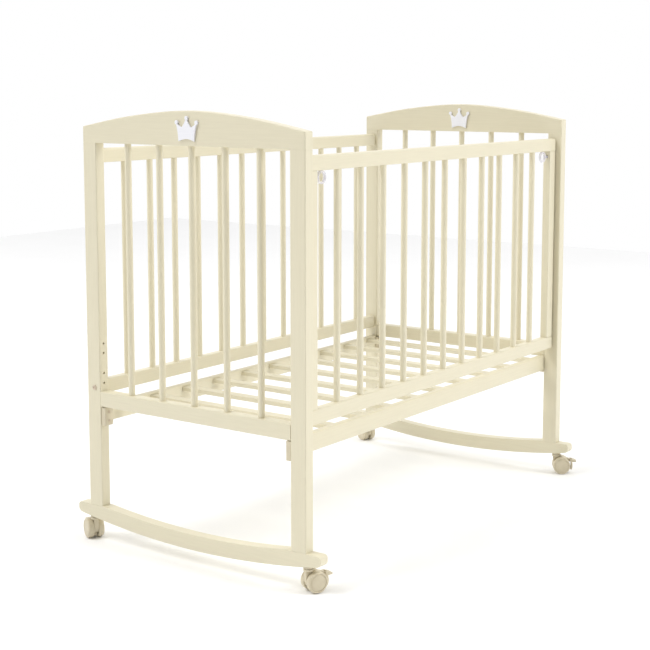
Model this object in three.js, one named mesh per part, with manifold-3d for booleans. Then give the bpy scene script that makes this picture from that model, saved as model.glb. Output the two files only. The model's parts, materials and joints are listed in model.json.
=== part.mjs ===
// A wooden baby crib on rockers and casters, with one side that slides down.
// Units are millimetres and Z is up. X runs along the crib, and the sliding side faces -Y.
// "left" is the -X end and "right" the +X end, as seen by someone who stands at the sliding side.
import * as THREE from "three";
import { mergeVertices } from "three/addons/utils/BufferGeometryUtils.js";
import Module from "manifold-3d";

const wasm = await Module();
wasm.setup();

// Overall sizes: the frame takes a mattress of 1200 x 600.
const LENGTH = 1264;
const WIDTH = 674;
const HALF_LENGTH = LENGTH / 2;
const HALF_WIDTH = WIDTH / 2;

// End panels
const POST_THICK = 29;
const POST_WIDE = 43;
const EDGE_ROUND = 3;
const ROCKER_SEAT_Z = 93;
const CREST_Z = 999;
const CREST_END_Z = 1039;
const CREST_SHOULDER_Z = 1066;
const CREST_PEAK_Z = 1080;
const END_RAIL_LOW_Z = 347;
const END_RAIL_HIGH_Z = 385;
const END_SPINDLES = 5;
const END_SPINDLE_PITCH = 100.5;
const SPINDLE_RADIUS = 8;
const SPINDLE_SIDES = 16;
const TENON = 14;
const CREST_SHOULDER_SHARE = 0.53;

// The gap between pieces that fit into one another, and how far a piece that cuts or joins
// another runs past its face.
const CLEARANCE = 0.3;
const OVERRUN = 1;

// Rockers
const ROCKER_LOW_Z = 37;
const ROCKER_DEEP = 38;
const ROCKER_RADIUS = 2260;
const ROCKER_OVERHANG = 40;
const ROCKER_TOP_ROUND = 10;
const ROCKER_END_MIDDLE_Z = 78;
const ROCKER_TOE = 20;

// Long sides
const RAIL_THICK = 22;
const RAIL_TALL = 35;
const LOWER_RAIL_Z = 376;
const TOP_RAIL_Z = 950;
const TOP_RAIL_ROUND = 7;
const BACK_RECESS = 13;
const BACK_SPINDLES = 12;
const BACK_SPINDLE_PITCH = 93.5;
const BOLT_Z = 393.5;
const BOLT_RADIUS = 3;
const BOLT_HEAD_RADIUS = 6;
const BOLT_HEAD_TALL = 2;
const BOLT_SOCKET_DEEP = 1.5;
const BOLT_LONG = 60;

// Sliding side, its guide grooves and its latches
const DROP_RECESS = 15;
const DROP_GAP = 6;
const DROP_SPINDLES = 11;
const DROP_SPINDLE_PITCH = 95;
const STILE_WIDE = 33;
const GROOVE_WIDE = 12;
const GROOVE_DEEP = 10;
const GROOVE_LOW_Z = 380;
const GROOVE_HIGH_Z = 946;
const LATCH_Z = 934;
const LATCH_BOLT_RADIUS = 4;
const LATCH_REACH = 7;
const LATCH_RING_RADIUS = 15.5;
const LATCH_RING_THICK = 4;
const LATCH_RING_WIDE = 8;
const LATCH_RING_OFFSET = 27;
const GUIDE_PIN_Z = 560;
const GUIDE_PIN_ROOT = 5;

// Mattress base
const BASE_RAIL_THICK = 17;
const BASE_RAIL_LOW_Z = 306;
const BASE_RAIL_TALL = 44;
const BASE_FRONT_RECESS = 41;
const BASE_END_GAP = 2;
const SLATS = 10;
const SLAT_PITCH = 124.5;
const SLAT_WIDE = 30;
const SLAT_THICK = 11;
const SLAT_ROUND = 2;
const SLAT_LOW_Z = 333;
const SLAT_POCKET = 8;
const BRACKET_LOW_Z = 300;
const BRACKET_TALL = 45;
const BRACKET_THICK = 14;
const BRACKET_INSET = 2;
const BRACKET_ROUND = 2;
const BRACKET_SCREW_RADIUS = 2.5;
const BRACKET_SCREW_SHARES = [0.25, 0.75];
const BRACKET_TONGUE = 8;
const BRACKET_TONGUE_THICK = 6;
const BRACKET_TONGUE_ROOT = 6;
const BASE_HOLE_RADIUS = 3;
const BASE_HOLE_DEEP = 12;
const BASE_HOLE_HEIGHTS = [405, 430, 480, 504];

// Crown ornament
const CROWN_THICK = 5;
const CROWN_Z = 1009;
const CROWN_BALL = 5;

// Casters: each is built with its stem on the local Z axis and its wheels trailing along local +X.
const STEM_INSET = 14.5;
const STEM_FROM_SIDE = 3.5;
const STEM_SEAT_Z = 60;
const STEM_RADIUS = 5;
const STEM_TOP_Z = 88;
const STEM_FLANGE_RADIUS = 12;
const STEM_FLANGE_TALL = 3;
const PIVOT_RADIUS = 3;
const PIVOT_LOW_Z = 44;
const TRAIL = 15;
const WHEEL_RADIUS = 25;
const WHEEL_WIDE = 15;
const WHEEL_OFFSET = 13.5;
const WHEEL_SIDES = 32;
const WHEEL_INNER_CHAMFER = 2;
const WHEEL_OUTER_CHAMFER = 3;
const WHEEL_RIM_RADIUS = 19;
const WHEEL_DISH = 1.2;
const WHEEL_HUB_RISE = 0.8;
const AXLE_RADIUS = 3;
const AXLE_COVER = 3;
const HOOD_WIDE = 11;
const HOOD_RADIUS = 22;
const HOOD_CAP_LOW_Z = 51;
const HOOD_CAP_HIGH_Z = 56;
const HOOD_NECK_X = -9;
const HOOD_NOSE_HALF = 4;
const HOOD_NOTCH_X = [-10, 4];
const HOOD_NOTCH_TOP_Z = 18;
const LEVER_PIVOT_X = 40;
const LEVER_PIVOT_Z = 40;
const LEVER_PIN_RADIUS = 1.6;
const LEVER_WIDE = 20;
const LEVER_BAND_INNER = 28.5;
const LEVER_BAND_OUTER = 32.5;
const LEVER_BAND_LOW = -0.42;
const LEVER_BAND_INNER_HIGH = 0.45;
const LEVER_BAND_OUTER_HIGH = 0.3;
const LEVER_TIP_X = 58;
const LEVER_SLOT_HALF = 9;
const LEVER_SIDE_PLAY = 0.5;
const CASTER_YAWS = {
  front_left: 336,
  front_right: 303,
  back_left: 62,
  back_right: 65,
};

// Paint and plastic
const ENAMEL = new THREE.MeshStandardMaterial({ color: "#f2ead2", roughness: 0.42 });
const WHITE_PAINT = new THREE.MeshStandardMaterial({ color: "#f6f4ec", roughness: 0.4 });
const BEIGE_PLASTIC = new THREE.MeshStandardMaterial({ color: "#e2d2b4", roughness: 0.45 });
const CLEAR_PLASTIC = new THREE.MeshStandardMaterial({
  color: "#eef0f4",
  roughness: 0.12,
  transparent: true,
  opacity: 0.45,
});
const STEEL = new THREE.MeshStandardMaterial({ color: "#a89a80", roughness: 0.4, metalness: 1 });

const CIRCLE = Math.PI * 2;

// Booleans

function solidOf(geometry) {
  const bare = geometry.index ? geometry.toNonIndexed() : geometry.clone();
  bare.deleteAttribute("normal");
  bare.deleteAttribute("uv");
  const merged = mergeVertices(bare, 1e-3);
  return new wasm.Manifold(
    new wasm.Mesh({
      numProp: 3,
      vertProperties: merged.attributes.position.array,
      triVerts: new Uint32Array(merged.index.array),
    }),
  );
}

function geometryOf(solid) {
  const mesh = solid.getMesh();
  const geometry = new THREE.BufferGeometry();
  geometry.setAttribute("position", new THREE.BufferAttribute(mesh.vertProperties, 3));
  geometry.setIndex(new THREE.BufferAttribute(mesh.triVerts, 1));
  geometry.computeVertexNormals();
  return geometry;
}

// The body with the added pieces joined to it and then the cut pieces taken away.
function carve(body, { add = [], cut = [] }) {
  let solid = solidOf(body);
  for (const piece of add) {
    solid = solid.add(solidOf(piece));
  }
  for (const piece of cut) {
    solid = solid.subtract(solidOf(piece));
  }
  return geometryOf(solid);
}

// Basic shapes, each placed where it belongs

function box(x0, x1, y0, y1, z0, z1) {
  const geometry = new THREE.BoxGeometry(x1 - x0, y1 - y0, z1 - z0);
  return geometry.translate((x0 + x1) / 2, (y0 + y1) / 2, (z0 + z1) / 2);
}

function cylinderZ(x, y, z0, z1, radius, sides = SPINDLE_SIDES) {
  const geometry = new THREE.CylinderGeometry(radius, radius, z1 - z0, sides);
  return geometry.rotateX(Math.PI / 2).translate(x, y, (z0 + z1) / 2);
}

function cylinderX(x0, x1, y, z, radius, sides = SPINDLE_SIDES) {
  const geometry = new THREE.CylinderGeometry(radius, radius, x1 - x0, sides);
  return geometry.rotateZ(Math.PI / 2).translate((x0 + x1) / 2, y, z);
}

function cylinderY(x, y0, y1, z, radius, sides = SPINDLE_SIDES) {
  return new THREE.CylinderGeometry(radius, radius, y1 - y0, sides).translate(x, (y0 + y1) / 2, z);
}

// A rectangle with one radius on its lower corners and another on its upper ones.
function roundedRectangle(x0, x1, y0, y1, lowRound, highRound) {
  const shape = new THREE.Shape();
  shape.moveTo(x0 + lowRound, y0);
  shape.lineTo(x1 - lowRound, y0);
  shape.absarc(x1 - lowRound, y0 + lowRound, lowRound, -Math.PI / 2, 0);
  shape.lineTo(x1, y1 - highRound);
  shape.absarc(x1 - highRound, y1 - highRound, highRound, 0, Math.PI / 2);
  shape.lineTo(x0 + highRound, y1);
  shape.absarc(x0 + highRound, y1 - highRound, highRound, Math.PI / 2, Math.PI);
  shape.lineTo(x0, y0 + lowRound);
  shape.absarc(x0 + lowRound, y0 + lowRound, lowRound, Math.PI, Math.PI * 1.5);
  return shape;
}

// An upright bar with rounded long edges.
function uprightBar(x0, x1, y0, y1, z0, z1, round = EDGE_ROUND) {
  const shape = roundedRectangle(x0, x1, y0, y1, round, round);
  const geometry = new THREE.ExtrudeGeometry(shape, {
    depth: z1 - z0,
    curveSegments: 4,
    bevelEnabled: false,
  });
  return geometry.translate(0, 0, z0);
}

// An outline drawn in Y and Z, extruded along X.
function extrudedX(shape, x0, x1, curveSegments) {
  const geometry = new THREE.ExtrudeGeometry(shape, {
    depth: x1 - x0,
    curveSegments,
    bevelEnabled: false,
  });
  return geometry.rotateX(Math.PI / 2).rotateZ(Math.PI / 2).translate(x0, 0, 0);
}

// An outline drawn in X and Z, extruded along Y.
function extrudedY(shape, y0, y1, curveSegments) {
  const geometry = new THREE.ExtrudeGeometry(shape, {
    depth: y1 - y0,
    curveSegments,
    bevelEnabled: false,
  });
  return geometry.rotateX(Math.PI / 2).translate(0, y1, 0);
}

// A bar along X with rounded long edges.
function barX(x0, x1, y0, y1, z0, z1, lowRound = EDGE_ROUND, highRound = EDGE_ROUND) {
  return extrudedX(roundedRectangle(y0, y1, z0, z1, lowRound, highRound), x0, x1, 5);
}

// A bar along Y with rounded long edges.
function barY(x0, x1, y0, y1, z0, z1, round = EDGE_ROUND) {
  return extrudedY(roundedRectangle(x0, x1, z0, z1, round, round), y0, y1, 4);
}

function spread(count, pitch) {
  return Array.from({ length: count }, (_, i) => (i - (count - 1) / 2) * pitch);
}

// The group, in which every mesh has its own name

const crib = new THREE.Group();

function place(name, geometry, material, parent = crib) {
  const mesh = new THREE.Mesh(geometry, material);
  mesh.name = name;
  parent.add(mesh);
  return mesh;
}

// Places shared by several parts

const ENDS = [
  { end: "left", side: -1 },
  { end: "right", side: 1 },
];
const PANEL_INNER_X = HALF_LENGTH - POST_THICK;
const POST_INNER_Y = HALF_WIDTH - POST_WIDE;
const SPINDLE_END_Z = CREST_Z + TENON;

const DROP_OUTER_Y = -HALF_WIDTH + DROP_RECESS;
const DROP_INNER_Y = DROP_OUTER_Y + RAIL_THICK;
const DROP_Y = (DROP_OUTER_Y + DROP_INNER_Y) / 2;
const DROP_HALF = PANEL_INNER_X - DROP_GAP;
const DROP_TOP_Z = TOP_RAIL_Z + RAIL_TALL;
const STILE_INNER_X = DROP_HALF - STILE_WIDE;

const BACK_OUTER_Y = HALF_WIDTH - BACK_RECESS;
const BACK_INNER_Y = BACK_OUTER_Y - RAIL_THICK;
const BACK_Y = (BACK_OUTER_Y + BACK_INNER_Y) / 2;

const BASE_FRONT_Y = -HALF_WIDTH + BASE_FRONT_RECESS;
const BASE_FRONT_INNER_Y = BASE_FRONT_Y + BASE_RAIL_THICK;
const BASE_BACK_INNER_Y = POST_INNER_Y;
const BASE_HALF = PANEL_INNER_X - BASE_END_GAP;

const STEM_X = HALF_LENGTH - STEM_INSET;
const STEM_Y = HALF_WIDTH - STEM_FROM_SIDE;

// The X range of something that starts `from` inside one end panel's outer face.
function endRange(side, from, to) {
  const a = side * (HALF_LENGTH - from);
  const b = side * (HALF_LENGTH - to);
  return [Math.min(a, b), Math.max(a, b)];
}

// End panels

function post(side, face) {
  const [x0, x1] = endRange(side, 0, POST_THICK);
  const y0 = face < 0 ? -HALF_WIDTH : POST_INNER_Y;
  const body = uprightBar(x0, x1, y0, y0 + POST_WIDE, ROCKER_SEAT_Z, CREST_Z);
  const holes = BASE_HOLE_HEIGHTS.map((z) => {
    const inner = face * POST_INNER_Y;
    const deep = inner + face * BASE_HOLE_DEEP;
    const shallow = inner - face * OVERRUN;
    return cylinderY((x0 + x1) / 2, Math.min(deep, shallow), Math.max(deep, shallow), z, BASE_HOLE_RADIUS, 12);
  });
  if (face < 0) {
    return carve(body, { cut: [...holes, guideGroove(side)] });
  }
  return carve(body, { cut: [...holes, boltHole(side)] });
}

function guideGroove(side) {
  const [x0, x1] = endRange(side, POST_THICK - GROOVE_DEEP, POST_THICK + OVERRUN);
  return box(x0, x1, DROP_Y - GROOVE_WIDE / 2, DROP_Y + GROOVE_WIDE / 2, GROOVE_LOW_Z, GROOVE_HIGH_Z);
}

function boltHole(side) {
  const [x0, x1] = endRange(side, -OVERRUN, BOLT_LONG + OVERRUN);
  return cylinderX(x0, x1, BACK_Y, BOLT_Z, BOLT_RADIUS + CLEARANCE);
}

// The bolt that holds the back side's lower rail to the post, with a hexagonal socket in its head.
function backBolt(side) {
  const [s0, s1] = endRange(side, -BOLT_HEAD_TALL / 2, BOLT_LONG);
  const [h0, h1] = endRange(side, -BOLT_HEAD_TALL, 0);
  const [k0, k1] = endRange(side, -BOLT_HEAD_TALL - OVERRUN, BOLT_SOCKET_DEEP - BOLT_HEAD_TALL);
  return carve(cylinderX(h0, h1, BACK_Y, BOLT_Z, BOLT_HEAD_RADIUS, 24), {
    add: [cylinderX(s0, s1, BACK_Y, BOLT_Z, BOLT_RADIUS)],
    cut: [cylinderX(k0, k1, BACK_Y, BOLT_Z, BOLT_RADIUS, 6)],
  });
}

function crest(side) {
  const shape = new THREE.Shape();
  shape.moveTo(-HALF_WIDTH, CREST_Z);
  shape.lineTo(HALF_WIDTH, CREST_Z);
  shape.lineTo(HALF_WIDTH, CREST_END_Z);
  shape.splineThru([
    new THREE.Vector2(HALF_WIDTH * CREST_SHOULDER_SHARE, CREST_SHOULDER_Z),
    new THREE.Vector2(0, CREST_PEAK_Z),
    new THREE.Vector2(-HALF_WIDTH * CREST_SHOULDER_SHARE, CREST_SHOULDER_Z),
    new THREE.Vector2(-HALF_WIDTH, CREST_END_Z),
  ]);
  const [x0, x1] = endRange(side, 0, POST_THICK);
  const x = (x0 + x1) / 2;
  const sockets = spread(END_SPINDLES, END_SPINDLE_PITCH).map((y) =>
    cylinderZ(x, y, CREST_Z - OVERRUN, SPINDLE_END_Z + CLEARANCE, SPINDLE_RADIUS + CLEARANCE),
  );
  return carve(extrudedX(shape, x0, x1, 10), { cut: sockets });
}

function endLowerRailAndSpindles(side) {
  const [x0, x1] = endRange(side, 0, POST_THICK);
  const rail = barY(x0, x1, -POST_INNER_Y, POST_INNER_Y, END_RAIL_LOW_Z, END_RAIL_HIGH_Z);
  const spindles = spread(END_SPINDLES, END_SPINDLE_PITCH).map((y) =>
    cylinderZ((x0 + x1) / 2, y, END_RAIL_HIGH_Z - TENON, SPINDLE_END_Z, SPINDLE_RADIUS),
  );
  return carve(rail, { add: spindles });
}

// Height of an arc of the rocker above its own lowest point, at a distance y from the middle.
function arcRise(radius, y) {
  return radius - Math.sqrt(radius * radius - y * y);
}

function rockerOutline() {
  const centerZ = ROCKER_LOW_Z + ROCKER_RADIUS;
  const topRadius = ROCKER_RADIUS - ROCKER_DEEP;
  const topSwing = Math.acos((centerZ - ROCKER_SEAT_Z) / topRadius);
  const tip = HALF_WIDTH + ROCKER_OVERHANG;
  const toe = tip - ROCKER_TOE;
  const toeZ = ROCKER_LOW_Z + arcRise(ROCKER_RADIUS, toe);
  const toeSwing = Math.asin(toe / ROCKER_RADIUS);
  const down = -Math.PI / 2;
  const shape = new THREE.Shape();
  shape.moveTo(-tip + ROCKER_TOP_ROUND, ROCKER_SEAT_Z);
  shape.absarc(0, centerZ, topRadius, down - topSwing, down + topSwing, false);
  shape.lineTo(tip - ROCKER_TOP_ROUND, ROCKER_SEAT_Z);
  shape.quadraticCurveTo(tip, ROCKER_SEAT_Z, tip, ROCKER_SEAT_Z - ROCKER_TOP_ROUND);
  shape.lineTo(tip, ROCKER_END_MIDDLE_Z);
  shape.quadraticCurveTo(tip, toeZ + 2, toe, toeZ);
  shape.absarc(0, centerZ, ROCKER_RADIUS, down + toeSwing, down - toeSwing, true);
  shape.quadraticCurveTo(-tip, toeZ + 2, -tip, ROCKER_END_MIDDLE_Z);
  shape.lineTo(-tip, ROCKER_SEAT_Z - ROCKER_TOP_ROUND);
  shape.quadraticCurveTo(-tip, ROCKER_SEAT_Z, -tip + ROCKER_TOP_ROUND, ROCKER_SEAT_Z);
  return shape;
}

// The underside has a flat spot and a bore for each caster's stem.
function rocker(side) {
  const [x0, x1] = endRange(side, 0, POST_THICK);
  const x = side * STEM_X;
  const cut = [-STEM_Y, STEM_Y].flatMap((y) => [
    cylinderZ(x, y, ROCKER_LOW_Z, STEM_SEAT_Z + CLEARANCE, STEM_FLANGE_RADIUS + OVERRUN, 32),
    cylinderZ(x, y, ROCKER_LOW_Z, STEM_TOP_Z + CLEARANCE, STEM_RADIUS + CLEARANCE),
  ]);
  return carve(extrudedX(rockerOutline(), x0, x1, 32), { cut });
}

// Three plain points with a ball on each, over a base with a hollow lower edge.
function crown(side) {
  const shape = new THREE.Shape();
  shape.moveTo(-24, 0);
  shape.quadraticCurveTo(0, 12, 24, 0);
  shape.quadraticCurveTo(25, 24, 32, 44);
  shape.quadraticCurveTo(22, 36, 14, 33);
  shape.quadraticCurveTo(5, 42, 0, 56);
  shape.quadraticCurveTo(-5, 42, -14, 33);
  shape.quadraticCurveTo(-22, 36, -32, 44);
  shape.quadraticCurveTo(-25, 24, -24, 0);
  const x0 = side < 0 ? -HALF_LENGTH - CROWN_THICK : PANEL_INNER_X - CROWN_THICK;
  const x1 = x0 + CROWN_THICK;
  const balls = [
    [-30, 44],
    [0, 54],
    [30, 44],
  ].map(([y, z]) => cylinderX(x0, x1, y, z, CROWN_BALL, 24));
  return carve(extrudedX(shape, x0, x1, 8), { add: balls }).translate(0, 0, CROWN_Z);
}

for (const { end, side } of ENDS) {
  place(`post_front_${end}`, post(side, -1), ENAMEL);
  place(`post_back_${end}`, post(side, 1), ENAMEL);
  place(`crest_${end}`, crest(side), ENAMEL);
  place(`end_lower_rail_and_spindles_${end}`, endLowerRailAndSpindles(side), ENAMEL);
  place(`rocker_${end}`, rocker(side), ENAMEL);
  place(`crown_${end}`, crown(side), WHITE_PAINT);
  place(`back_bolt_${end}`, backBolt(side), STEEL);
}

// A top rail with sockets in its underside, and a lower rail with its row of spindles

function topRail(half, y0, y1, spindles) {
  const rail = barX(-half, half, y0, y1, TOP_RAIL_Z, TOP_RAIL_Z + RAIL_TALL, EDGE_ROUND, TOP_RAIL_ROUND);
  const socketZ = TOP_RAIL_Z + TENON + CLEARANCE;
  return {
    rail,
    sockets: spindles.map((x) =>
      cylinderZ(x, (y0 + y1) / 2, TOP_RAIL_Z - OVERRUN, socketZ, SPINDLE_RADIUS + CLEARANCE),
    ),
  };
}

function lowerRail(half, y0, y1, spindles) {
  const rail = barX(-half, half, y0, y1, LOWER_RAIL_Z, LOWER_RAIL_Z + RAIL_TALL);
  const rootZ = LOWER_RAIL_Z + RAIL_TALL - TENON;
  return {
    rail,
    row: spindles.map((x) => cylinderZ(x, (y0 + y1) / 2, rootZ, TOP_RAIL_Z + TENON, SPINDLE_RADIUS)),
  };
}

// Fixed back side

const backSpindles = spread(BACK_SPINDLES, BACK_SPINDLE_PITCH);
const backTop = topRail(PANEL_INNER_X, BACK_INNER_Y, BACK_OUTER_Y, backSpindles);
const backLow = lowerRail(PANEL_INNER_X, BACK_INNER_Y, BACK_OUTER_Y, backSpindles);
const backBolts = ENDS.map(({ side }) => boltHole(side));
place("back_top_rail", carve(backTop.rail, { cut: backTop.sockets }), ENAMEL);
place("back_lower_rail_and_spindles", carve(backLow.rail, { add: backLow.row, cut: backBolts }), ENAMEL);

// Sliding side

const dropSpindles = spread(DROP_SPINDLES, DROP_SPINDLE_PITCH);
const dropTop = topRail(DROP_HALF, DROP_OUTER_Y, DROP_INNER_Y, dropSpindles);
const dropLow = lowerRail(DROP_HALF, DROP_OUTER_Y, DROP_INNER_Y, dropSpindles);
place("drop_side_top_rail", carve(dropTop.rail, { cut: dropTop.sockets }), ENAMEL);
place("drop_side_lower_rail_and_spindles", carve(dropLow.rail, { add: dropLow.row }), ENAMEL);

// Each stile is bored for its latch bolt, and carries a pin that runs in the post's groove.
function stile(side) {
  const [x0, x1] = side < 0 ? [-DROP_HALF, -STILE_INNER_X] : [STILE_INNER_X, DROP_HALF];
  const lowZ = LOWER_RAIL_Z + RAIL_TALL;
  const body = uprightBar(x0, x1, DROP_OUTER_Y, DROP_INNER_Y, lowZ, TOP_RAIL_Z);
  const [p0, p1] = endRange(side, POST_THICK - LATCH_REACH, POST_THICK + DROP_GAP + GUIDE_PIN_ROOT);
  return carve(body, {
    add: [cylinderX(p0, p1, DROP_Y, GUIDE_PIN_Z, LATCH_BOLT_RADIUS)],
    cut: [cylinderX(x0 - OVERRUN, x1 + OVERRUN, DROP_Y, LATCH_Z, LATCH_BOLT_RADIUS + CLEARANCE)],
  });
}

// A finger ring on a bolt. Pulling the ring towards the middle draws the bolt out of the post's groove.
function latch(side) {
  const ringX = side * (STILE_INNER_X - LATCH_RING_OFFSET);
  const y0 = DROP_Y - LATCH_RING_WIDE / 2;
  const y1 = DROP_Y + LATCH_RING_WIDE / 2;
  const shape = new THREE.Shape();
  shape.absarc(ringX, LATCH_Z, LATCH_RING_RADIUS, 0, CIRCLE);
  const hole = new THREE.Path();
  hole.absarc(ringX, LATCH_Z, LATCH_RING_RADIUS - LATCH_RING_THICK, 0, CIRCLE, true);
  shape.holes.push(hole);
  const tip = side * (PANEL_INNER_X + LATCH_REACH);
  const root = ringX + side * (LATCH_RING_RADIUS - LATCH_RING_THICK / 2);
  const bolt = cylinderX(Math.min(tip, root), Math.max(tip, root), DROP_Y, LATCH_Z, LATCH_BOLT_RADIUS);
  return carve(extrudedY(shape, y0, y1, 20), { add: [bolt] });
}

for (const { end, side } of ENDS) {
  place(`drop_side_stile_${end}`, stile(side), ENAMEL);
  place(`latch_${end}`, latch(side), CLEAR_PLASTIC);
}

// Mattress base: two long rails with pockets for the slats, on a bracket at each corner

const slatPlaces = spread(SLATS, SLAT_PITCH);

function slatPockets(y0, y1) {
  return slatPlaces.map((x) =>
    box(
      x - SLAT_WIDE / 2 - CLEARANCE,
      x + SLAT_WIDE / 2 + CLEARANCE,
      y0,
      y1,
      SLAT_LOW_Z - CLEARANCE,
      SLAT_LOW_Z + SLAT_THICK + CLEARANCE,
    ),
  );
}

function baseRail(y0, pockets) {
  const y1 = y0 + BASE_RAIL_THICK;
  const rail = barX(-BASE_HALF, BASE_HALF, y0, y1, BASE_RAIL_LOW_Z, BASE_RAIL_LOW_Z + BASE_RAIL_TALL);
  return carve(rail, { cut: pockets });
}

place(
  "base_rail_front",
  baseRail(BASE_FRONT_Y, slatPockets(BASE_FRONT_INNER_Y - SLAT_POCKET, BASE_FRONT_INNER_Y + OVERRUN)),
  ENAMEL,
);
place(
  "base_rail_back",
  baseRail(BASE_BACK_INNER_Y, slatPockets(BASE_BACK_INNER_Y - OVERRUN, BASE_BACK_INNER_Y + SLAT_POCKET)),
  ENAMEL,
);

slatPlaces.forEach((x, i) => {
  const y0 = BASE_FRONT_INNER_Y - SLAT_POCKET + CLEARANCE;
  const y1 = BASE_BACK_INNER_Y + SLAT_POCKET - CLEARANCE;
  const x0 = x - SLAT_WIDE / 2;
  const slat = barY(x0, x0 + SLAT_WIDE, y0, y1, SLAT_LOW_Z, SLAT_LOW_Z + SLAT_THICK, SLAT_ROUND);
  place(`slat_${String(i + 1).padStart(2, "0")}`, slat, ENAMEL);
});

// A block on the post's inner face. At the back, where the rail stands beside the block and not
// behind it, a tongue reaches along the rail.
function bracket(side, face) {
  const [x0, x1] = endRange(side, BRACKET_INSET, POST_THICK - BRACKET_INSET / 2);
  const y0 = face < 0 ? -POST_INNER_Y : POST_INNER_Y - BRACKET_THICK;
  const y1 = y0 + BRACKET_THICK;
  const z1 = BRACKET_LOW_Z + BRACKET_TALL;
  const screwHoles = BRACKET_SCREW_SHARES.map((share) => {
    const z = BRACKET_LOW_Z + BRACKET_TALL * share;
    return cylinderY((x0 + x1) / 2, y0 - OVERRUN, y1 + OVERRUN, z, BRACKET_SCREW_RADIUS);
  });
  const block = uprightBar(x0, x1, y0, y1, BRACKET_LOW_Z, z1, BRACKET_ROUND);
  if (face < 0) {
    return carve(block, { cut: screwHoles });
  }
  const [t0, t1] = endRange(side, POST_THICK - BRACKET_TONGUE_ROOT, POST_THICK + BRACKET_TONGUE);
  const tongueY = POST_INNER_Y - CLEARANCE;
  const tongue = box(t0, t1, tongueY - BRACKET_TONGUE_THICK, tongueY, BRACKET_LOW_Z, z1);
  return carve(block, { add: [tongue], cut: screwHoles });
}

for (const { end, side } of ENDS) {
  place(`base_bracket_front_${end}`, bracket(side, -1), BEIGE_PLASTIC);
  place(`base_bracket_back_${end}`, bracket(side, 1), BEIGE_PLASTIC);
}

// Casters

function stem() {
  const flangeZ = STEM_SEAT_Z - STEM_FLANGE_TALL;
  return carve(cylinderZ(0, 0, flangeZ, STEM_SEAT_Z, STEM_FLANGE_RADIUS, 32), {
    add: [
      cylinderZ(0, 0, flangeZ + OVERRUN, STEM_TOP_Z, STEM_RADIUS),
      cylinderZ(0, 0, PIVOT_LOW_Z + CLEARANCE, flangeZ + OVERRUN, PIVOT_RADIUS),
    ],
  });
}

// A web between the wheels, with a cap above them, a nose for the brake lever and the axle.
function hood() {
  const half = HOOD_WIDE / 2;
  const web = cylinderY(TRAIL, -half, half, WHEEL_RADIUS, HOOD_RADIUS, 40);
  const neck = box(HOOD_NECK_X, TRAIL, -half, half, WHEEL_RADIUS, HOOD_CAP_HIGH_Z - OVERRUN);
  const cap = cylinderZ(0, 0, HOOD_CAP_LOW_Z, HOOD_CAP_HIGH_Z, STEM_FLANGE_RADIUS, 32);
  const nose = new THREE.Shape();
  nose.moveTo(TRAIL, HOOD_CAP_LOW_Z - OVERRUN);
  nose.lineTo(LEVER_PIVOT_X, LEVER_PIVOT_Z + HOOD_NOSE_HALF);
  nose.lineTo(LEVER_PIVOT_X + HOOD_NOSE_HALF, LEVER_PIVOT_Z);
  nose.lineTo(LEVER_PIVOT_X, LEVER_PIVOT_Z - HOOD_NOSE_HALF);
  nose.lineTo(TRAIL, WHEEL_RADIUS);
  const axleHalf = WHEEL_OFFSET + WHEEL_WIDE / 2 - AXLE_COVER;
  const pinBore = LEVER_PIN_RADIUS + CLEARANCE;
  const [notch0, notch1] = HOOD_NOTCH_X;
  return carve(web, {
    add: [
      neck,
      cap,
      extrudedY(nose, -half, half, 1),
      cylinderY(TRAIL, -axleHalf, axleHalf, WHEEL_RADIUS, AXLE_RADIUS),
    ],
    cut: [
      cylinderZ(0, 0, PIVOT_LOW_Z, HOOD_CAP_HIGH_Z + OVERRUN, PIVOT_RADIUS + CLEARANCE),
      cylinderY(LEVER_PIVOT_X, -half - OVERRUN, half + OVERRUN, LEVER_PIVOT_Z, pinBore),
      box(notch0, notch1, -half - OVERRUN, half + OVERRUN, 0, HOOD_NOTCH_TOP_Z),
    ],
  });
}

// One wheel, turned about its axle, which ends in a blind hub. The outer face is dished inside a
// raised rim.
function wheel() {
  const bore = AXLE_RADIUS + CLEARANCE;
  const half = WHEEL_WIDE / 2;
  const boreEnd = half - AXLE_COVER + CLEARANCE;
  const profile = [
    [0, boreEnd],
    [bore, boreEnd],
    [bore, -half],
    [WHEEL_RADIUS - WHEEL_INNER_CHAMFER, -half],
    [WHEEL_RADIUS, -half + WHEEL_INNER_CHAMFER],
    [WHEEL_RADIUS, half - WHEEL_OUTER_CHAMFER],
    [WHEEL_RADIUS - WHEEL_OUTER_CHAMFER, half],
    [WHEEL_RIM_RADIUS, half],
    [WHEEL_RIM_RADIUS - WHEEL_DISH, half - WHEEL_DISH],
    [0, half - WHEEL_DISH + WHEEL_HUB_RISE],
  ].map(([r, y]) => new THREE.Vector2(r, y));
  return new THREE.LatheGeometry(profile, WHEEL_SIDES);
}

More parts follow.
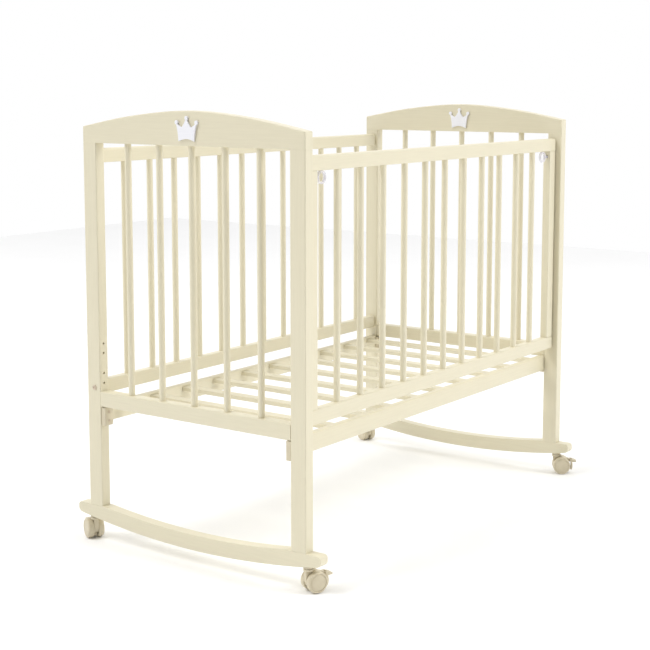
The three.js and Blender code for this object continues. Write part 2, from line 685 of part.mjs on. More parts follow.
// The lever's cheeks hang from a pin through the hood's nose, and its band curves down past the treads.
function brakeLever() {
  const half = LEVER_WIDE / 2;
  const slotHalf = HOOD_WIDE / 2 + LEVER_SIDE_PLAY;
  const shape = new THREE.Shape();
  shape.absarc(TRAIL, WHEEL_RADIUS, LEVER_BAND_OUTER, LEVER_BAND_LOW, LEVER_BAND_OUTER_HIGH, false);
  shape.lineTo(LEVER_TIP_X - 2, LEVER_PIVOT_Z - 5);
  shape.lineTo(LEVER_TIP_X, LEVER_PIVOT_Z - 3);
  shape.lineTo(LEVER_TIP_X, LEVER_PIVOT_Z - 1);
  shape.lineTo(LEVER_PIVOT_X + 5, LEVER_PIVOT_Z + 3.5);
  shape.lineTo(LEVER_PIVOT_X, LEVER_PIVOT_Z + 3.5);
  shape.lineTo(LEVER_PIVOT_X - 2.2, LEVER_PIVOT_Z + 0.8);
  shape.absarc(TRAIL, WHEEL_RADIUS, LEVER_BAND_INNER, LEVER_BAND_INNER_HIGH, LEVER_BAND_LOW, true);
  const slot = box(
    TRAIL,
    LEVER_PIVOT_X + HOOD_NOSE_HALF + OVERRUN,
    -slotHalf,
    slotHalf,
    LEVER_PIVOT_Z - LEVER_SLOT_HALF,
    LEVER_PIVOT_Z + LEVER_SLOT_HALF,
  );
  return geometryOf(
    solidOf(extrudedY(shape, -half, half, 10))
      .subtract(solidOf(slot))
      .add(solidOf(cylinderY(LEVER_PIVOT_X, -half + 1, half - 1, LEVER_PIVOT_Z, LEVER_PIN_RADIUS))),
  );
}

function addCaster(corner, x, y) {
  const caster = new THREE.Group();
  caster.position.set(x, y, 0);
  caster.rotation.z = THREE.MathUtils.degToRad(CASTER_YAWS[corner]);
  crib.add(caster);
  place(`caster_${corner}_stem`, stem(), STEEL, caster);
  place(`caster_${corner}_hood`, hood(), BEIGE_PLASTIC, caster);
  place(`caster_${corner}_brake_lever`, brakeLever(), BEIGE_PLASTIC, caster);
  for (const [letter, turn] of [["a", 0], ["b", Math.PI]]) {
    const mesh = place(`caster_${corner}_wheel_${letter}`, wheel(), BEIGE_PLASTIC, caster);
    mesh.rotation.z = turn;
    mesh.position.set(TRAIL, WHEEL_OFFSET * Math.cos(turn), WHEEL_RADIUS);
  }
}

addCaster("front_left", -STEM_X, -STEM_Y);
addCaster("front_right", STEM_X, -STEM_Y);
addCaster("back_left", -STEM_X, STEM_Y);
addCaster("back_right", STEM_X, STEM_Y);

// The origin is below the middle of the whole crib's box.
const bounds = new THREE.Box3().setFromObject(crib, true);
const middle = bounds.getCenter(new THREE.Vector3());
crib.position.set(-middle.x, -middle.y, -bounds.min.z);

export default crib;
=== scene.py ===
"""A cream-painted wooden baby crib on rockers and casters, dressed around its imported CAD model."""

import json
import math

import bmesh
import bpy
from mathutils import Matrix, Vector


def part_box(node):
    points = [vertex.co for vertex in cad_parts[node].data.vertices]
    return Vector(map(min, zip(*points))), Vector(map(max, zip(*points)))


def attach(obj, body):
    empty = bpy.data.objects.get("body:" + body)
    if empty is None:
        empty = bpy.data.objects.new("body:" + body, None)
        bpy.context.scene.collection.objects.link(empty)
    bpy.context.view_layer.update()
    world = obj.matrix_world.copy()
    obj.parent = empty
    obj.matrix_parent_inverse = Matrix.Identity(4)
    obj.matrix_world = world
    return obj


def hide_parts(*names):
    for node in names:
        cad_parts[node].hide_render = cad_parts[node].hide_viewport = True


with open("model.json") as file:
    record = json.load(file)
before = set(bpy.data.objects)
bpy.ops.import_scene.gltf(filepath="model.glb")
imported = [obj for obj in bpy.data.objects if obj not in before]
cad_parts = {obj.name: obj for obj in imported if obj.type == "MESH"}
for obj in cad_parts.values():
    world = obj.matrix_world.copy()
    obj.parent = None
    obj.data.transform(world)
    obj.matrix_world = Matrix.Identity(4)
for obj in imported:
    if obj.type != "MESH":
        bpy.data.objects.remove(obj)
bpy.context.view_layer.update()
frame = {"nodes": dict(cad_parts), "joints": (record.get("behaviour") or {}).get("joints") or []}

MM = 0.001
NODES = frame["nodes"]
JOINTS = {joint["name"]: joint for joint in frame["joints"]}
ENDS = ("left", "right")
FACES = ("front", "back")
CORNERS = ("front_left", "front_right", "back_left", "back_right")

# Camera, at the photograph's viewing angle, in metres and millimetres of film
CAMERA_AT = (-3.1459, -2.187, 1.1432)
CAMERA_HEADING = math.radians(35.64)
CAMERA_DOWN = math.radians(7.04)
CAMERA_LENS = 79.42
CAMERA_SENSOR = 36.0
CAMERA_SHIFT = -0.1
CAMERA_REACH = 100.0

# Rounding of edges, in metres
WOOD_EDGE = 3.0 * MM
CREST_EDGE = 3.0 * MM
ROCKER_EDGE = 1.2 * MM
JOINT_EDGE = 0.6 * MM
RAIL_END_EDGE = 2 * JOINT_EDGE
PLASTIC_EDGE = 0.5 * MM
BOLT_HEAD_EDGE = PLASTIC_EDGE / 2
CROWN_EDGE = 1.2 * MM
BULLNOSE = 7.0 * MM
LOWER_BULLNOSE = 2.0 * MM

# Meshes
WELD = 1e-6
SAME_PLANE = math.radians(0.1)
SHARP = math.radians(32)
SMALL_SIDES = 32
ROUND_SIDES = 48
RING_SIDES = 72
WHEEL_SIDES = 96

# Paint and plastics: the darker and the lighter tone of each
CREAM = ((0.730, 0.674, 0.502), (0.757, 0.701, 0.526))
CROWN_WHITE = ((0.85, 0.85, 0.90), (0.89, 0.89, 0.93))
BEIGE_TONES = ((0.62, 0.55, 0.40), (0.67, 0.60, 0.44))
CLEAR_TONES = ((0.80, 0.78, 0.86), (0.88, 0.87, 0.93))
STEEL_TONES = ((0.56, 0.47, 0.36), (0.68, 0.58, 0.46))
FLOOR_TONES = ((0.97, 0.97, 0.97), (0.98, 0.98, 0.98))

# How finely each pattern repeats, per metre
GRAIN_SCALE = 260
GRAIN_STRETCH = 0.05
CLOUD_SCALE = 7
SPRAY_SCALE = 900
MOULD_SCALE = 45
SPARK_SCALE = 1500
CLEAR_SCALE = 160
SCRATCH_SCALE = 900
FLOOR_SCALE = 3

# Spindles and the rows that they stand in
SPINDLE_RADIUS = 8.0 * MM
TENON = 12.0 * MM
END_SPINDLES = (5, 100.5 * MM)
BACK_SPINDLES = (12, 93.5 * MM)
DROP_SPINDLES = (11, 95.0 * MM)
END_RAIL_TALL = 38.0 * MM
SOCKET_RADIUS = SPINDLE_RADIUS + 2 * MM


# ---------------------------------------------------------------- materials


def add_node(tree, kind, **settings):
    node = tree.nodes.new(kind)
    for name, value in settings.items():
        setattr(node, name, value)
    return node


def start_material(name, **inputs):
    """A new Principled material with the given values on the shader's own sockets."""
    material = bpy.data.materials.new(name)
    material.use_nodes = True
    shader = material.node_tree.nodes["Principled BSDF"]
    for socket, value in inputs.items():
        shader.inputs[socket.replace("_", " ")].default_value = value
    return material, material.node_tree, shader


def noise(tree, scale, detail, stretch=(1, 1, 1), roughness=0.5):
    """Noise laid out in the part's own frame, in metres, and squeezed along each axis by stretch."""
    place = add_node(tree, "ShaderNodeTexCoord")
    mapping = add_node(tree, "ShaderNodeMapping")
    mapping.inputs["Scale"].default_value = stretch
    made = add_node(tree, "ShaderNodeTexNoise")
    made.inputs["Scale"].default_value = scale
    made.inputs["Detail"].default_value = detail
    made.inputs["Roughness"].default_value = roughness
    tree.links.new(place.outputs["Object"], mapping.inputs["Vector"])
    tree.links.new(mapping.outputs["Vector"], made.inputs["Vector"])
    return made.outputs["Fac"]


def two_colours(tree, factor, tones, low=0.35, high=0.65):
    """A colour that goes from the darker tone to the lighter one as the factor rises."""
    dark, light = tones
    ramp = add_node(tree, "ShaderNodeValToRGB")
    ramp.color_ramp.elements[0].position = low
    ramp.color_ramp.elements[0].color = (*dark, 1)
    ramp.color_ramp.elements[1].position = high
    ramp.color_ramp.elements[1].color = (*light, 1)
    tree.links.new(factor, ramp.inputs["Fac"])
    return ramp.outputs["Color"]


def between(tree, factor, low, high):
    """A number that goes from low to high as the factor rises."""
    remap = add_node(tree, "ShaderNodeMapRange")
    remap.inputs["From Min"].default_value = 0.3
    remap.inputs["From Max"].default_value = 0.7
    remap.inputs["To Min"].default_value = low
    remap.inputs["To Max"].default_value = high
    tree.links.new(factor, remap.inputs["Value"])
    return remap.outputs["Result"]


def bumps(tree, shader, layers):
    """Bump nodes one after another, each (height, strength, distance)."""
    normal = None
    for height, strength, distance in layers:
        bump = add_node(tree, "ShaderNodeBump")
        bump.inputs["Strength"].default_value = strength
        bump.inputs["Distance"].default_value = distance
        tree.links.new(height, bump.inputs["Height"])
        if normal is not None:
            tree.links.new(normal, bump.inputs["Normal"])
        normal = bump.outputs["Normal"]
    tree.links.new(normal, shader.inputs["Normal"])


def enamel(name, tones, along):
    """Satin paint over wood: the grain shows through as faint lines that run along one axis."""
    material, tree, shader = start_material(
        name, Coat_Weight=0.25, Coat_Roughness=0.32, Specular_IOR_Level=0.5
    )
    grain = tuple(GRAIN_STRETCH if axis == along else 1.0 for axis in "XYZ")
    lines = noise(tree, GRAIN_SCALE, 5, grain, 0.6)
    clouds = noise(tree, CLOUD_SCALE, 3, grain)
    spray = noise(tree, SPRAY_SCALE, 2)
    tree.links.new(two_colours(tree, lines, tones, 0.3, 0.62), shader.inputs["Base Color"])
    tree.links.new(between(tree, clouds, 0.36, 0.46), shader.inputs["Roughness"])
    bumps(tree, shader, [(lines, 0.12, 0.2 * MM), (clouds, 0.12, 0.6 * MM), (spray, 0.05, 0.1 * MM)])
    return material


def plastic(name, tones, roughness):
    """Moulded plastic with a fine spark-eroded texture and slow changes of tone."""
    material, tree, shader = start_material(name, Specular_IOR_Level=0.5)
    clouds = noise(tree, MOULD_SCALE, 3)
    texture = noise(tree, SPARK_SCALE, 3, roughness=0.65)
    gloss = between(tree, texture, roughness - 0.05, roughness + 0.08)
    tree.links.new(two_colours(tree, clouds, tones), shader.inputs["Base Color"])
    tree.links.new(gloss, shader.inputs["Roughness"])
    bumps(tree, shader, [(texture, 0.25, 0.08 * MM)])
    return material


def clear_plastic():
    """Milky clear plastic: what is behind it shows through."""
    material, tree, shader = start_material("clear_plastic", Alpha=0.5, Specular_IOR_Level=0.35)
    clouds = noise(tree, CLEAR_SCALE, 3)
    tree.links.new(two_colours(tree, clouds, CLEAR_TONES), shader.inputs["Base Color"])
    tree.links.new(between(tree, clouds, 0.2, 0.32), shader.inputs["Roughness"])
    bumps(tree, shader, [(clouds, 0.15, 0.2 * MM)])
    return material


def steel():
    """Zinc-plated steel with fine scratches."""
    material, tree, shader = start_material("zinc_steel", Metallic=0.4)
    scratches = noise(tree, SCRATCH_SCALE, 4, (1, 0.08, 1))
    tree.links.new(two_colours(tree, scratches, STEEL_TONES), shader.inputs["Base Color"])
    tree.links.new(between(tree, scratches, 0.3, 0.5), shader.inputs["Roughness"])
    bumps(tree, shader, [(scratches, 0.2, 0.05 * MM)])
    return material


WOOD = {axis: enamel(f"cream_enamel_{axis}", CREAM, axis) for axis in "XYZ"}
WHITE = enamel("white_enamel", CROWN_WHITE, "Y")
BEIGE = plastic("beige_plastic", BEIGE_TONES, 0.38)
CLEAR = clear_plastic()
STEEL = steel()


# ---------------------------------------------------------------- meshes


def finish_mesh(name, bm, material):
    """The bmesh as a smooth object, with normals that keep its flat faces flat."""
    bmesh.ops.recalc_face_normals(bm, faces=bm.faces)
    mesh = bpy.data.meshes.new(name)
    bm.to_mesh(mesh)
    bm.free()
    mesh.shade_smooth()
    mesh.set_sharp_from_angle(angle=SHARP)
    mesh.materials.append(material)
    piece = bpy.data.objects.new(name, mesh)
    bpy.context.scene.collection.objects.link(piece)
    normals = piece.modifiers.new("flat faces", "WEIGHTED_NORMAL")
    normals.keep_sharp = True
    return piece


def add_piece(name, bm, material, slot, body, *nodes):
    """A piece that rides on a body and stands for the CAD nodes named."""
    piece = finish_mesh(name, bm, material)
    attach(piece, body)
    if nodes:
        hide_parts(*nodes)
    return piece


def round_edges(bm, size, where=lambda p: True, segments=3):
    """Rounds the sharp edges whose middle point the test accepts."""
    edges = [
        edge
        for edge in bm.edges
        if len(edge.link_faces) == 2
        and edge.calc_face_angle() > SHARP
        and where((edge.verts[0].co + edge.verts[1].co) / 2)
    ]
    bmesh.ops.bevel(
        bm,
        geom=edges,
        offset=size,
        offset_type="OFFSET",
        segments=segments,
        profile=0.5,
        affect="EDGES",
    )


def cad_shape(node):
    """A CAD node's shape as a bmesh, with the triangles of each flat face joined."""
    bm = bmesh.new()
    bm.from_mesh(NODES[node].data)
    bmesh.ops.remove_doubles(bm, verts=bm.verts, dist=WELD)
    bmesh.ops.dissolve_limit(bm, angle_limit=SAME_PLANE, verts=bm.verts, edges=bm.edges)
    return bm


def refined(node, size, material, slot, body):
    """A piece in a CAD node's shape, with its sharp edges rounded."""
    bm = cad_shape(node)
    round_edges(bm, size)
    return add_piece(f"{node}_piece", bm, material, slot, body, node)


def rounded_rectangle(a0, a1, b0, b1, low_round, high_round, steps=6):
    """Points of a rectangle with one radius on its lower corners and another on its upper ones."""
    corners = [
        (a0 + low_round, b0 + low_round, low_round, 180),
        (a1 - low_round, b0 + low_round, low_round, 270),
        (a1 - high_round, b1 - high_round, high_round, 0),
        (a0 + high_round, b1 - high_round, high_round, 90),
    ]
    points = []
    for a, b, radius, first in corners:
        for step in range(steps + 1):
            turn = math.radians(first + 90 * step / steps)
            points.append((a + radius * math.cos(turn), b + radius * math.sin(turn)))
    return points


# A point drawn across an axis as (a, b), at t along it
PLACE = {
    "X": lambda a, b, t: (t, a, b),
    "Y": lambda a, b, t: (a, t, b),
    "Z": lambda a, b, t: (a, b, t),
}


def extruded(outline, axis, start, end):
    """An outline drawn across an axis, extruded along it."""
    bm = bmesh.new()
    rings = [[bm.verts.new(PLACE[axis](a, b, t)) for a, b in outline] for t in (start, end)]
    for ring in rings:
        bm.faces.new(ring)
    count = len(outline)
    for i in range(count):
        j = (i + 1) % count
        bm.faces.new((rings[0][i], rings[0][j], rings[1][j], rings[1][i]))
    bmesh.ops.recalc_face_normals(bm, faces=bm.faces)
    return bm


def revolved(profile, sides, closed=False):
    """A profile of (radius, height) turned about Z. A radius of 0 closes the end to a point."""
    bm = bmesh.new()
    turns = [2 * math.pi * i / sides for i in range(sides)]
    circle = [(math.cos(t), math.sin(t)) for t in turns]
    rings = []
    for radius, height in profile:
        if radius == 0:
            rings.append([bm.verts.new((0, 0, height))] * sides)
        else:
            rings.append([bm.verts.new((radius * x, radius * y, height)) for x, y in circle])
    if closed:
        rings.append(rings[0])
    for lower, upper in zip(rings, rings[1:]):
        for i in range(sides):
            j = (i + 1) % sides
            face = [lower[i], lower[j], upper[j], upper[i]]
            bm.faces.new(list(dict.fromkeys(face)))
    bmesh.ops.recalc_face_normals(bm, faces=bm.faces)
    return bm


def turned_to(bm, axis, centre):
    """Turns the bmesh's Z axis to another direction and moves its origin to a point."""
    turn = Vector((0, 0, 1)).rotation_difference(Vector(axis)).to_matrix().to_4x4()
    bm.transform(Matrix.Translation(centre) @ turn)
    return bm


def joined(parts):
    """One bmesh from several."""
    whole = bmesh.new()
    for part in parts:
        mesh = bpy.data.meshes.new("part")
        part.to_mesh(mesh)
        part.free()
        whole.from_mesh(mesh)
        bpy.data.meshes.remove(mesh)
    return whole


# ---------------------------------------------------------------- wooden parts


def middle(node):
    low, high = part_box(node)
    return (low + high) / 2


def spindles(row, centre, along, z0, z1, name, body):
    """A row of turned dowels, spread evenly about a point."""
    count, pitch = row
    for i in range(count):
        offset = (i - (count - 1) / 2) * pitch
        if along == "X":
            at = (centre.x + offset, centre.y, 0)
        else:
            at = (centre.x, centre.y + offset, 0)
        profile = [(0, z0), (SPINDLE_RADIUS, z0), (SPINDLE_RADIUS, z1), (0, z1)]
        bm = revolved(profile, ROUND_SIDES)
        bm.transform(Matrix.Translation(at))
        add_piece(f"{name}_{i + 1:02d}", bm, WOOD["Z"], "cream_enamel", body)


def rail_along_x(name, node, body, low, high, rounds):
    """A rail with its lower and upper long edges rounded, softened ends and faint grain along it."""
    outline = rounded_rectangle(low.y, high.y, low.z, high.z, *rounds)
    bm = extruded(outline, "X", low.x, high.x)
    round_edges(bm, RAIL_END_EDGE)
    add_piece(name, bm, WOOD["X"], "cream_enamel", body, node)


def long_side(side, body, row):
    """The top rail, the lower rail and the spindles of one long side."""
    top_node = f"{side}_top_rail"
    comb_node = f"{side}_lower_rail_and_spindles"
    top_low, top_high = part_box(top_node)
    low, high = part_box(comb_node)
    rail_tall = top_high.z - top_low.z
    rail_high = Vector((high.x, high.y, low.z + rail_tall))
    nose = (LOWER_BULLNOSE, BULLNOSE)
    rail_along_x(f"{side}_top_rail_piece", top_node, body, top_low, top_high, nose)
    edges = (WOOD_EDGE, WOOD_EDGE)
    rail_along_x(f"{side}_lower_rail_piece", comb_node, body, low, rail_high, edges)
    z0 = rail_high.z - TENON
    z1 = top_low.z + TENON
    spindles(row, (low + high) / 2, "X", z0, z1, f"{side}_spindle", body)


def end_rail_and_spindles(end):
    comb_node = f"end_lower_rail_and_spindles_{end}"
    low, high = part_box(comb_node)
    post_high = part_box(f"post_front_{end}")[1]
    rail_high_z = low.z + END_RAIL_TALL
    outline = rounded_rectangle(low.x, high.x, low.z, rail_high_z, WOOD_EDGE, WOOD_EDGE)
    bm = extruded(outline, "Y", low.y, high.y)
    round_edges(bm, JOINT_EDGE)
    add_piece(f"end_lower_rail_{end}", bm, WOOD["Y"], "cream_enamel", "crib_frame", comb_node)
    z0 = rail_high_z - TENON
    z1 = post_high.z + TENON
    spindles(END_SPINDLES, (low + high) / 2, "Y", z0, z1, f"end_spindle_{end}", "crib_frame")


def end_panel(end):
    end_rail_and_spindles(end)
    for face in FACES:
        refined(f"post_{face}_{end}", JOINT_EDGE, WOOD["Z"], "cream_enamel", "crib_frame")
    crest(end)
    rocker(end)
    refined(f"crown_{end}", CROWN_EDGE, WHITE, "white_enamel", "crib_frame")
    refined(f"back_bolt_{end}", BOLT_HEAD_EDGE, STEEL, "zinc_steel", "crib_frame")


def crest(end):
    """The CAD crest with its upper edges well rounded and its lower ones just broken."""
    node = f"crest_{end}"
    low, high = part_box(node)
    centre_x = (low.x + high.x) / 2
    underside_z = low.z + MM
    bm = cad_shape(node)
    round_edges(bm, CREST_EDGE, lambda p: p.z > underside_z, segments=4)

    def under_and_off_the_sockets(p):
        return p.z < underside_z and abs(p.x - centre_x) > SOCKET_RADIUS

    round_edges(bm, JOINT_EDGE, under_and_off_the_sockets, segments=2)
    add_piece(f"crest_{end}_piece", bm, WOOD["Y"], "cream_enamel", "crib_frame", node)


ROCKER_RADIUS = 2.260
ROCKER_DEEP = 0.038
ROCKER_TOE = 0.020
ROCKER_TOP_ROUND = 0.010
ROCKER_END_MIDDLE = 0.015
ROCKER_TOE_BEND = 0.002
ARC_STEPS = 48
CURVE_STEPS = 6


def quadratic(start, bend, end, steps=CURVE_STEPS):
    """Points of a quadratic curve, without its first point."""
    points = []
    for i in range(1, steps + 1):
        t = i / steps
        weights = ((1 - t) ** 2, 2 * t * (1 - t), t**2)
        points.append(
            tuple(
                weights[0] * a + weights[1] * b + weights[2] * c
                for a, b, c in zip(start, bend, end)
            )
        )
    return points


def rocker_half(tip, low_z, seat_z):
    """The outline of one half of a rocker, from the lowest point of its underside to its top."""
    centre_z = low_z + ROCKER_RADIUS
    toe = tip - ROCKER_TOE
    top_radius = ROCKER_RADIUS - ROCKER_DEEP
    seat = math.sqrt(top_radius**2 - (centre_z - seat_z) ** 2)
    steps = range(ARC_STEPS + 1)
    under = [toe * i / ARC_STEPS for i in steps]
    points = [(y, centre_z - math.sqrt(ROCKER_RADIUS**2 - y * y)) for y in under]
    toe_z = points[-1][1]
    end_z = seat_z - ROCKER_END_MIDDLE
    points += quadratic(points[-1], (tip, toe_z + ROCKER_TOE_BEND), (tip, end_z))
    points.append((tip, seat_z - ROCKER_TOP_ROUND))
    points += quadratic(points[-1], (tip, seat_z), (tip - ROCKER_TOP_ROUND, seat_z))
    over = [seat * (1 - i / ARC_STEPS) for i in steps]
    points += [(y, centre_z - math.sqrt(top_radius**2 - y * y)) for y in over]
    return points


def rocker(end):
    """A curved rocker, the same in both halves."""
    node = f"rocker_{end}"
    low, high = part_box(node)
    centre_y = (low.y + high.y) / 2
    half = rocker_half((high.y - low.y) / 2, low.z, high.z)
    mirrored = [(-y, z) for y, z in reversed(half[1:-1])]
    outline = [(centre_y + y, z) for y, z in half + mirrored]
    bm = extruded(outline, "X", low.x, high.x)
    round_edges(bm, ROCKER_EDGE)
    add_piece(f"rocker_{end}_piece", bm, WOOD["Y"], "cream_enamel", "crib_frame", node)


# ---------------------------------------------------------------- mattress base

SCREW_RADIUS = 3.6 * MM
SCREW_SHANK = 2.2 * MM
SCREW_DEEP = 4.0 * MM
SCREW_RISE = 1.6 * MM
SCREW_SLOT = 0.55 * MM
# How far up the bracket each screw sits, as a share of its height
BRACKET_SCREWS = (0.25, 0.75)


def screw(name, at, outward):
    """A pan-head screw with a cross recess, seen from the bracket's open side."""
    profile = [
        (0, -SCREW_DEEP),
        (SCREW_SHANK, -SCREW_DEEP),
        (SCREW_SHANK, 0),
        (SCREW_RADIUS, 0),
        (SCREW_RADIUS * 0.96, SCREW_RISE * 0.55),
        (SCREW_RADIUS * 0.75, SCREW_RISE * 0.9),
        (SCREW_RADIUS * 0.62, SCREW_RISE),
        (SCREW_RADIUS * 0.5, SCREW_RISE * 0.35),
        (0, SCREW_RISE * 0.2),
    ]
    head = revolved(profile, SMALL_SIDES)
    for vertex in head.verts:
        spoke = min(abs(vertex.co.x), abs(vertex.co.y))
        if vertex.co.z > SCREW_RISE * 0.8 and spoke < SCREW_SLOT:
            vertex.co.z = SCREW_RISE * 0.35
    turned_to(head, outward, at)
    add_piece(name, head, STEEL, "zinc_steel", "crib_frame")


def bracket(face, end):
    """A base bracket on the inner face of a post, with its two screws."""
    node = f"base_bracket_{face}_{end}"
    refined(node, PLASTIC_EDGE, BEIGE, "beige_plastic", "crib_frame")
    low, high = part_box(node)
    post = middle(f"post_{face}_{end}")
    open_side = 1 if face == "front" else -1
    y = high.y if face == "front" else low.y
    for i, share in enumerate(BRACKET_SCREWS):
        z = low.z + share * (high.z - low.z)
        screw(f"bracket_screw_{face}_{end}_{i + 1}", (post.x, y, z), (0, open_side, 0))


def mattress_base():
    for face in FACES:
        refined(f"base_rail_{face}", JOINT_EDGE, WOOD["X"], "cream_enamel", "crib_frame")
        for end in ENDS:
            bracket(face, end)
    for node in sorted(n for n in NODES if n.startswith("slat_")):
        refined(node, JOINT_EDGE, WOOD["Y"], "cream_enamel", "crib_frame")


# ---------------------------------------------------------------- latches

RING_INNER = 11.5 * MM
RING_OUTER = 15.5 * MM
RING_WIDE = 8.0 * MM
RING_ROUND = 1.6 * MM
RING_STEPS = 4
LATCH_BOLT_RADIUS = 4.0 * MM
LATCH_BOLT_ROUND = 1.2 * MM


def latch_bolt_profile(long):
    return [
        (0, 0),
        (LATCH_BOLT_RADIUS, 0),
        (LATCH_BOLT_RADIUS, long - LATCH_BOLT_ROUND),
        (LATCH_BOLT_RADIUS - LATCH_BOLT_ROUND / 3, long - LATCH_BOLT_ROUND / 3),
        (LATCH_BOLT_RADIUS - LATCH_BOLT_ROUND, long),
        (0, long),
    ]


def latch(end):
    """A clear finger ring, with its bolt reaching through the stile."""
    node = f"latch_{end}"
    low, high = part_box(node)
    y = (low.y + high.y) / 2
    z = (low.z + high.z) / 2
    inward = 1 if end == "left" else -1
    ring_x = (high.x if end == "left" else low.x) - inward * RING_OUTER
    tip_x = low.x if end == "left" else high.x
    half = RING_WIDE / 2
    section = rounded_rectangle(
        RING_INNER, RING_OUTER, -half, half, RING_ROUND, RING_ROUND, RING_STEPS
    )
    ring = turned_to(revolved(section, RING_SIDES, closed=True), (0, 1, 0), (ring_x, y, z))
    long = abs(ring_x - tip_x) - RING_INNER - RING_ROUND
    root = (ring_x - inward * (RING_INNER + RING_ROUND), y, z)
    bolt = turned_to(revolved(latch_bolt_profile(long), SMALL_SIDES), (-inward, 0, 0), root)
    add_piece(f"{node}_piece", joined([ring, bolt]), CLEAR, "clear_plastic", node, node)


# ---------------------------------------------------------------- casters

WHEEL_HALF = 7.5 * MM
WHEEL_RADIUS = 25.0 * MM
HUB_RADIUS = 3.2 * MM
HUB_COVER = 2.7 * MM
STEM_RADIUS = 5.0 * MM
PIVOT_RADIUS = 3.0 * MM
FLANGE_RADIUS = 12.0 * MM
FLANGE_LOW = 57.0 * MM
FLANGE_HIGH = 62.6 * MM
FLANGE_EDGE = 0.8 * MM


def wheel_profile():
    """Half of a wheel's section with its blind hub, as (radius, distance outward from its middle)."""
    half = WHEEL_HALF
    return [
        (0, half - HUB_COVER),
        (HUB_RADIUS, half - HUB_COVER),
        (HUB_RADIUS, -half),
        (14 * MM, -half),
        (15 * MM, -half + 1.5 * MM),
        (20 * MM, -half + 1.5 * MM),
        (21 * MM, -half),
        (23.2 * MM, -half),
        (24.4 * MM, -half + 0.6 * MM),
        (WHEEL_RADIUS, -half + 2 * MM),
        (WHEEL_RADIUS, half - 3.2 * MM),
        (24.6 * MM, half - 1.9 * MM),
        (23.8 * MM, half - 0.8 * MM),
        (22.4 * MM, half - 0.1 * MM),
        (21.4 * MM, half),
        (20.4 * MM, half),
        (20.0 * MM, half - 1.3 * MM),
        (18.4 * MM, half - 1.3 * MM),
        (18.0 * MM, half - 0.4 * MM),
        (14 * MM, half - 0.1 * MM),
        (7 * MM, half + 0.2 * MM),
        (0, half + 0.3 * MM),
    ]


def wheel(corner, letter, hood_middle):
    """A wheel, with its dished disc facing away from the hood."""
    name = f"caster_{corner}_wheel_{letter}"
    joint = JOINTS[f"{name}_roll"]
    centre = middle(name)
    outward = Vector(joint["axis"])
    if (centre - hood_middle).dot(outward) < 0:
        outward.negate()
    bm = turned_to(revolved(wheel_profile(), WHEEL_SIDES), outward, centre)
    add_piece(f"{name}_piece", bm, BEIGE, "beige_plastic", name, name)


def stem(corner):
    """The pivot, the flange under the rocker and the stem that goes up into it."""
    node = f"caster_{corner}_stem"
    low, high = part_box(node)
    centre = (low + high) / 2
    profile = [
        (0, low.z),
        (PIVOT_RADIUS, low.z),
        (PIVOT_RADIUS, FLANGE_LOW),
        (FLANGE_RADIUS - FLANGE_EDGE, FLANGE_LOW),
        (FLANGE_RADIUS, FLANGE_LOW + FLANGE_EDGE),
        (FLANGE_RADIUS, FLANGE_HIGH - FLANGE_EDGE),
        (FLANGE_RADIUS - FLANGE_EDGE, FLANGE_HIGH),
        (STEM_RADIUS, FLANGE_HIGH),
        (STEM_RADIUS, high.z),
        (0, high.z),
    ]
    bm = revolved(profile, ROUND_SIDES)
    bm.transform(Matrix.Translation((centre.x, centre.y, 0)))
    add_piece(f"{node}_piece", bm, BEIGE, "beige_plastic", "crib_frame", node)


def caster(corner):
    stem(corner)
    name = f"caster_{corner}"
    refined(f"{name}_hood", PLASTIC_EDGE, BEIGE, "beige_plastic", f"{name}_swivel")
    refined(f"{name}_brake_lever", PLASTIC_EDGE, BEIGE, "beige_plastic", f"{name}_lever")
    axle = Vector(JOINTS[f"{name}_wheel_a_roll"]["pos_m"])
    for letter in "ab":
        wheel(corner, letter, axle)


# ---------------------------------------------------------------- studio

FLOOR_HALF = 6.0
FLOOR_DROP = 0.2 * MM
# The direction in which the sky is dimmed, and the cosines to it where that starts and is complete
SHADE_SIDE = (-0.81, -0.58, 0)
SHADE_FROM = 0.2
SHADE_FULL = 0.6
SKY_BRIGHT = 1.0
SKY_DIM = 0.25
# Each light's place, target, size and power
KEY_LIGHT = ((1.5, -5.6, 4.4), (0, 0, 0.5), 3.0, 172)
FILL_LIGHT = ((-5.4, 3.1, 8.4), (0, 0, 0.5), 4.0, 412)


def floor():
    """A plain pale floor, just below the wheels."""
    bm = bmesh.new()
    corners = [(-1, -1), (1, -1), (1, 1), (-1, 1)]
    bm.faces.new([bm.verts.new((x * FLOOR_HALF, y * FLOOR_HALF, -FLOOR_DROP)) for x, y in corners])
    material, tree, shader = start_material("studio_floor", Roughness=0.9, Specular_IOR_Level=0.1)
    paper = noise(tree, FLOOR_SCALE, 2)
    tree.links.new(two_colours(tree, paper, FLOOR_TONES), shader.inputs["Base Color"])
    mesh = bpy.data.meshes.new("floor")
    bm.to_mesh(mesh)
    bm.free()
    mesh.materials.append(material)
    piece = bpy.data.objects.new("floor", mesh)
    bpy.context.scene.collection.objects.link(piece)


def area_light(name, at, target, size, power):
    data = bpy.data.lights.new(name, "AREA")
    data.shape = "SQUARE"
    data.size = size
    data.energy = power
    light = bpy.data.objects.new(name, data)
    light.location = at
    light.rotation_euler = (Vector(target) - Vector(at)).to_track_quat("-Z", "Y").to_euler()
    bpy.context.scene.collection.objects.link(light)


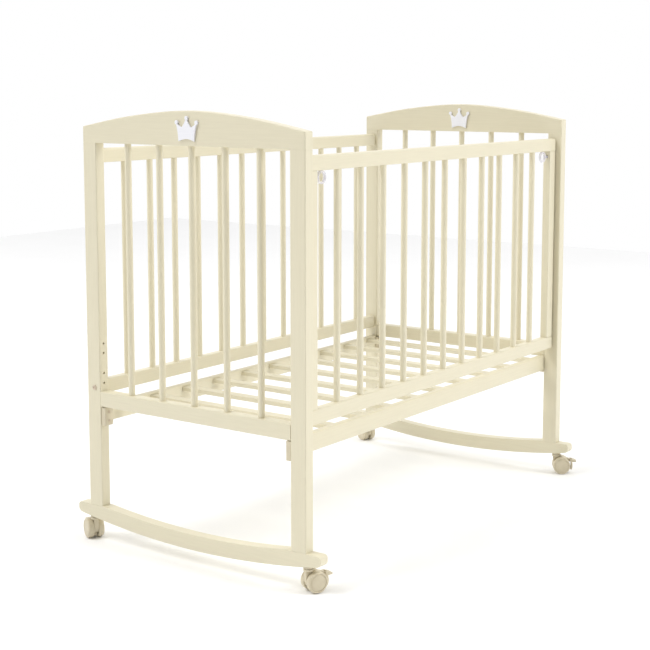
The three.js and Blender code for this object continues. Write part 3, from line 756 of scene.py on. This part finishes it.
def soft_sky(tree, background):
    """A white backdrop whose light is dimmer on one side, so that the two softboxes model the shapes."""
    place = add_node(tree, "ShaderNodeTexCoord")
    across = add_node(tree, "ShaderNodeVectorMath", operation="DOT_PRODUCT")
    across.inputs[1].default_value = SHADE_SIDE
    dimming = add_node(tree, "ShaderNodeMapRange", interpolation_type="SMOOTHSTEP")
    dimming.inputs["From Min"].default_value = SHADE_FROM
    dimming.inputs["From Max"].default_value = SHADE_FULL
    dimming.inputs["To Min"].default_value = SKY_BRIGHT
    dimming.inputs["To Max"].default_value = SKY_DIM
    tree.links.new(place.outputs["Generated"], across.inputs[0])
    tree.links.new(across.outputs["Value"], dimming.inputs["Value"])
    seen = add_node(tree, "ShaderNodeLightPath")
    strength = add_node(tree, "ShaderNodeMath", operation="MAXIMUM")
    tree.links.new(dimming.outputs["Result"], strength.inputs[0])
    tree.links.new(seen.outputs["Is Camera Ray"], strength.inputs[1])
    tree.links.new(strength.outputs["Value"], background.inputs["Strength"])


def studio():
    world = bpy.data.worlds.new("studio")
    bpy.context.scene.world = world
    world.use_nodes = True
    background = world.node_tree.nodes["Background"]
    background.inputs["Color"].default_value = (1, 1, 1, 1)
    soft_sky(world.node_tree, background)
    area_light("key_softbox", *KEY_LIGHT)
    area_light("fill_softbox", *FILL_LIGHT)
    bpy.context.scene.view_settings.view_transform = "Standard"


def camera():
    data = bpy.data.cameras.new("camera")
    data.lens = CAMERA_LENS
    data.sensor_width = CAMERA_SENSOR
    data.shift_y = CAMERA_SHIFT
    data.clip_end = CAMERA_REACH
    made = bpy.data.objects.new("camera", data)
    made.location = CAMERA_AT
    level = math.cos(CAMERA_DOWN)
    ahead_x = level * math.cos(CAMERA_HEADING)
    ahead_y = level * math.sin(CAMERA_HEADING)
    ahead = Vector((ahead_x, ahead_y, -math.sin(CAMERA_DOWN)))
    made.rotation_euler = ahead.to_track_quat("-Z", "Y").to_euler()
    bpy.context.scene.collection.objects.link(made)
    bpy.context.scene.camera = made


camera()
studio()
floor()
for crib_end in ENDS:
    end_panel(crib_end)
    refined(f"drop_side_stile_{crib_end}", JOINT_EDGE, WOOD["Z"], "cream_enamel", "drop_side")
    latch(crib_end)
long_side("back", "crib_frame", BACK_SPINDLES)
long_side("drop_side", "drop_side", DROP_SPINDLES)
mattress_base()
for caster_corner in CORNERS:
    caster(caster_corner)
